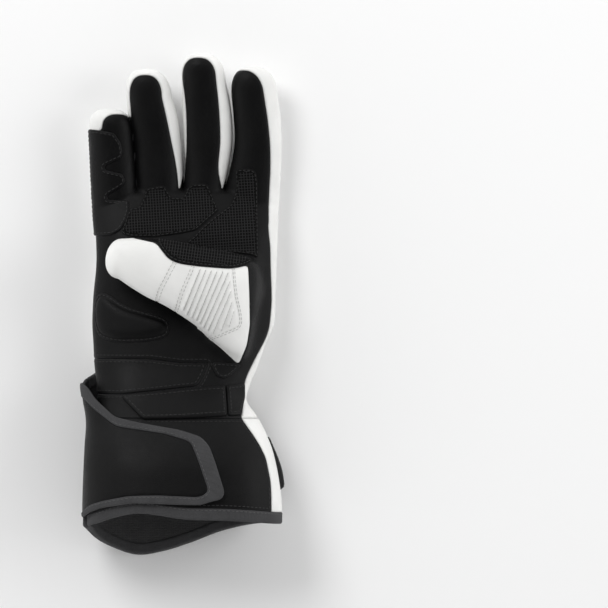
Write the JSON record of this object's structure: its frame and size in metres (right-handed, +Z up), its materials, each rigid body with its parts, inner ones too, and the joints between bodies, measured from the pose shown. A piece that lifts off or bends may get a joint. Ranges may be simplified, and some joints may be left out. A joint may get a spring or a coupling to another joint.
{
  "type": "racing glove",
  "caption": "Right-hand racing gauntlet glove in black and white leather, thumb folded over the palm, with grip patches, heel pad, wrist strap and a bound cuff flap.",
  "frame": {"origin": "middle of the outline seen from above, on the surface that the back of the glove rests on", "axes": "+Y toward the fingertips, +X toward the index finger, +Z up out of the palm"},
  "size_m": [0.128, 0.3134, 0.0763],
  "materials": {
    "black_leather": "smooth black leather with a fine grain",
    "white_leather": "smooth white leather with a fine grain",
    "grip_mesh": "black grip cloth with a close grid of square dimples",
    "binding_tape": "dark grey folded tape, matt",
    "cuff_lining_cloth": "dark knitted lining, matt"
  },
  "bodies": {
    "root": {"palm_panel": "black_leather", "back_panel": "white_leather", "little_finger_front": "black_leather", "little_finger_back": "white_leather", "ring_finger_front": "black_leather", "ring_finger_back": "white_leather", "middle_finger_front": "black_leather", "middle_finger_back": "white_leather", "index_finger_front": "black_leather", "index_finger_back": "white_leather", "thumb_back": "white_leather", "thumb_palm_side": "black_leather", "thumb_side_mesh": "grip_mesh", "palm_grip_patch": "grip_mesh", "thumb_crotch_patch": "grip_mesh", "edge_guard": "black_leather", "heel_pad": "black_leather", "wrist_panel": "black_leather", "thumb_gusset": "black_leather", "wrist_strap": "black_leather", "strap_anchor": "black_leather", "cuff_underlap": "black_leather", "cuff_side_stripe": "white_leather", "cuff_lining": "cuff_lining_cloth", "cuff_back": "black_leather", "cuff_flap": "black_leather", "flap_binding": "binding_tape", "collar_binding": "binding_tape", "front_hem_binding": "binding_tape", "back_hem_binding": "binding_tape", "cuff_side_protector": "black_leather"}
  },
  "joints": []
}
